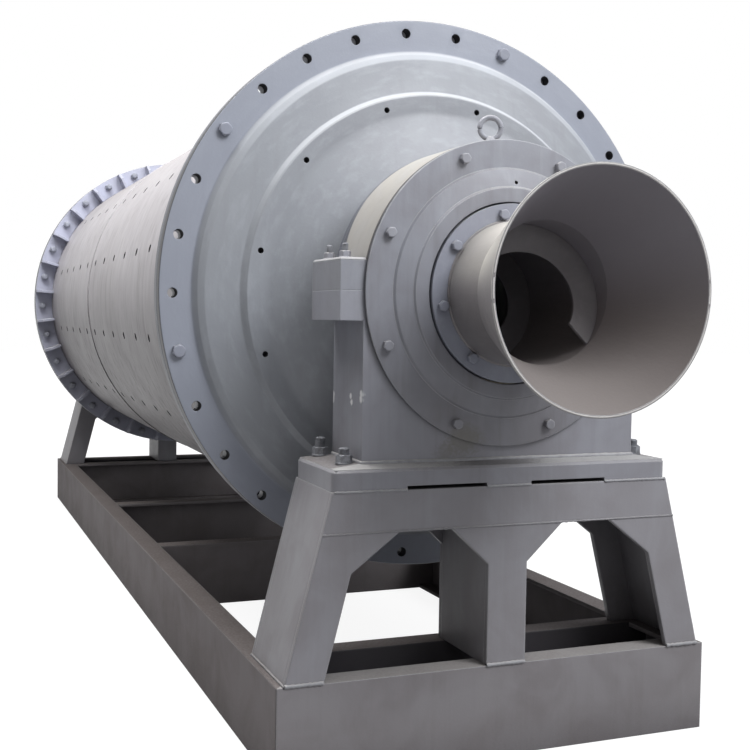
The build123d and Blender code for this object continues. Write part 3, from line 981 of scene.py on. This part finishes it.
# Stand welds: each row's spans across the front plate, with its bead and unevenness
standWeldLook = {
    "topSpans": ((-0.410, -0.245), (-0.055, 0.055), (0.245, 0.410)), "topBead": 0.0026, "topWobble": 0.3,
    "windowOuter": 0.428, "windowInner": 0.048, "footBead": 0.0042, "footRaise": 0.002, "footWobble": 0.25,
    "seamDrop": 0.088, "seamBead": 0.0020, "seamWobble": 0.4, "lean": 0.101 / 0.400,
    "sideDepth": 0.250, "sideRaise": 0.001, "sideBead": 0.003, "sideWobble": 0.25,
}


def standWelds(name, end):
    look = standWeldLook
    face = end * standFace
    foot = plateLow.z
    halfFoot = plateHigh.x

    def across(shape, low, high, level, bead, wobble):
        shape.tube(straightPath((low, face, level), (high, face, level)), bead, 6, False, wobble)

    shape = Shape()
    for low, high in look["topSpans"]:
        across(shape, low, high, standTop, look["topBead"], look["topWobble"])
    outer, inner = look["windowOuter"], look["windowInner"]
    for low, high in ((-halfFoot, -outer), (-inner, inner), (outer, halfFoot)):
        across(shape, low, high, foot + look["footRaise"], look["footBead"], look["footWobble"])
    shape.piece(name, "stand", "stand_paint", "bead", 60)
    shape = Shape()
    seam = standTop - look["seamDrop"]
    halfSeam = halfFoot - look["lean"] * (seam - foot)
    across(shape, -halfSeam, halfSeam, seam, look["seamBead"], look["seamWobble"])
    for side in (-1, 1):
        level = foot + look["sideRaise"]
        rear = (side * halfFoot, end * (standFace - look["sideDepth"]), level)
        path = straightPath(rear, (side * halfFoot, face, level))
        shape.tube(path, look["sideBead"], 6, False, look["sideWobble"])
    shape.piece(name + "Ground", "stand", "stand_paint", "stand", 60)


drumWelds()
standWelds("dischargeStandWelds", -1)
standWelds("feedStandWelds", 1)
print("stage: welds made")


# Sloped tops of the bearing soles, fillets at the housings' feet and eased tops of the cap lugs.
# Inner and outer give the half width and the near and far stations of the slope's two edges.
slopeLook = {
    "inner": (0.338, 1.772, 1.955), "outer": (0.407, 1.744, 1.983),
    "sunk": 0.001, "lip": 0.001, "rise": 0.010, "fillet": 0.005, "filletStep": 0.012, "filletWobble": 0.08,
    "lugIn": 0.004, "lugEnd": 0.391, "lugTop": 0.064, "lugSunk": 0.0005, "lugLip": 0.001, "lugRise": 0.0055,
    "lugEase": 0.0045,
}


def rectangle(reach, near, far, end):
    return [(-reach, end * near), (reach, end * near), (reach, end * far), (-reach, end * far)]


def soleSlope(name, end):
    look = slopeLook
    shape = Shape()
    points = []
    for edge, level in (("outer", -look["sunk"]), ("outer", look["lip"]), ("inner", look["rise"]),
                        ("inner", -look["sunk"])):
        points += [(*corner, soleTop + level) for corner in rectangle(*look[edge], end)]
    shape.add(points, ladder(4, 4, True))
    shape.piece(name, "stand", "bearing_paint", "sole", 30)


def soleFillet(name, end):
    look = slopeLook
    level = soleTop + look["rise"]
    path = []
    around = rectangle(*look["inner"], end)
    for corner, after in zip(around, around[1:] + around[:1]):
        path += straightPath((*corner, level), (*after, level), look["filletStep"])[:-1]
    shape = Shape()
    shape.tube(path, look["fillet"], 8, True, look["filletWobble"])
    shape.piece(name, "stand", "bearing_paint", "bead", 60)


def lugTops(name, end):
    look = slopeLook
    shape = Shape()
    reach, near, far = look["inner"]
    low = reach - look["lugIn"]
    level = axisHeight + look["lugTop"]
    for side in (-1, 1):
        points = []
        for ease, height in ((0, -look["lugSunk"]), (0, look["lugLip"]), (look["lugEase"], look["lugRise"])):
            high = look["lugEnd"] - ease
            for x, y in ((low, near + ease), (high, near + ease), (high, far - ease), (low, far - ease)):
                points.append((side * x, end * y, level + height))
        shape.add(points, ladder(3, 4) + [[8, 9, 10, 11], [3, 2, 1, 0]])
    shape.piece(name, "stand", "bearing_paint", "bead", 30)


for end, name in ((-1, "dischargeSoleSlope"), (1, "feedSoleSlope")):
    soleSlope(name, end)
    soleFillet(name + "Fillet", end)
    lugTops(name + "LugTops", end)
print("stage: soles made")


# Camera, at the photograph's place and angle
cameraLook = {
    "place": (-1.210, -4.206, 0.969), "azimuth": 0.38035, "elevation": 0.04939, "roll": 0.01534,
    "focal": 1142.7, "frameWidth": 750, "sensor": 36.0, "farEnd": 100,
}


def makeCamera():
    look = cameraLook
    cosA, sinA = math.cos(look["azimuth"]), math.sin(look["azimuth"])
    cosE, sinE = math.cos(look["elevation"]), math.sin(look["elevation"])
    forward = Vector((sinA * cosE, cosA * cosE, -sinE))
    level = Vector((cosA, -sinA, 0))
    up = level.cross(forward)
    right = level * math.cos(look["roll"]) + up * math.sin(look["roll"])
    above = up * math.cos(look["roll"]) - level * math.sin(look["roll"])
    data = bpy.data.cameras.new("camera")
    data.sensor_width = look["sensor"]
    data.lens = look["focal"] * look["sensor"] / look["frameWidth"]
    data.clip_end = look["farEnd"]
    camera = bpy.data.objects.new("camera", data)
    matrix = Matrix((right, above, -forward)).transposed().to_4x4()
    matrix.translation = Vector(look["place"])
    camera.matrix_world = matrix
    bpy.context.scene.collection.objects.link(camera)
    bpy.context.scene.camera = camera


# Floor, white surroundings and soft lamps
stageLook = {
    "skyHigh": 0.66, "skyLow": 0.05, "skyTint": (0.94, 0.965, 1.0, 1), "skyFrom": (0.36, -0.42, 0.83),
    "leftTint": (1.0, 0.945, 0.89, 1), "leftShade": 0.35,
    "floorColour": (0.20, 0.20, 0.203, 1), "floorGlow": 0.90, "floorHalf": 25, "floorLevel": -0.0006,
    "floorFade": (1.5, 7.0),
    "lamps": [
        # name, place, aim, width, power, colour
        ("topLamp", (-1.1, -0.7, 4.6), (0, -0.5, 1.0), 3.0, 215, (1.0, 0.99, 0.975)),
        ("frontLamp", (1.9, -5.3, 4.9), (0, -1.6, 1.0), 3.0, 255, (0.975, 0.985, 1.0)),
    ],
}


def seenDirectly(t):
    made = t.node("LightPath", output="Is Camera Ray")
    for name in ("Is Glossy Ray", "Is Transmission Ray"):
        made = made + t.node("LightPath", output=name)
    return made.clamped()


def makeFloor():
    look = stageLook
    half, level = look["floorHalf"], look["floorLevel"]
    mesh = bpy.data.meshes.new("floor")
    points = [(x, y, level) for x, y in rectangle(half, -half, half, 1)]
    mesh.from_pydata(points, [], [(0, 1, 2, 3)])
    floor = bpy.data.objects.new("floor", mesh)
    bpy.context.scene.collection.objects.link(floor)
    t = Tree(bpy.data.materials.new("floorShade"))
    far = t.apart(t.place(), (0.0, 0.0, 0.0)).over(*look["floorFade"])
    pale = t.node("BsdfDiffuse", None, {"Color": look["floorColour"]})
    strength = seenDirectly(t) * (look["floorGlow"] + far * (1 - look["floorGlow"]))
    glow = t.node("Emission", None, {"Color": (1, 1, 1, 1), "Strength": strength})
    mesh.materials.append(t.finish(t.node("AddShader", None, {0: pale, 1: glow})))


def makeSky():
    # brighter towards skyFrom, warmer and dimmer from the left, plain white where it is seen
    look = stageLook
    world = bpy.data.worlds.new("surroundings")
    bpy.context.scene.world = world
    t = Tree(world)
    aim = t.node("TexCoord", output="Generated")
    left = 1 - t.parts(aim)[0].over(-0.9, 0.1)
    bright = t.facing(aim, look["skyFrom"]).over(-0.3, 0.95)
    dim = look["skyLow"] + bright * (look["skyHigh"] - look["skyLow"])
    dim = dim * (1 - left * look["leftShade"])
    sky = t.node("Background", None, {0: t.mixed(left, look["skyTint"], look["leftTint"]), 1: dim})
    white = t.node("Background", None, {0: (1, 1, 1, 1), 1: 1.0})
    t.finish(t.node("MixShader", None, {0: seenDirectly(t), 1: sky, 2: white}), "World")


def makeLamp(name, place, aim, width, power, colour):
    data = bpy.data.lights.new(name, "AREA")
    data.shape = "DISK"
    data.size = width
    data.energy = power
    data.color = colour
    lamp = bpy.data.objects.new(name, data)
    lamp.location = place
    lamp.rotation_euler = (Vector(aim) - Vector(place)).to_track_quat("-Z", "Y").to_euler()
    bpy.context.scene.collection.objects.link(lamp)


makeCamera()
makeFloor()
makeSky()
for lamp in stageLook["lamps"]:
    makeLamp(*lamp)
bpy.context.scene.view_settings.view_transform = "Standard"
print("stage: camera, floor and lamps made")
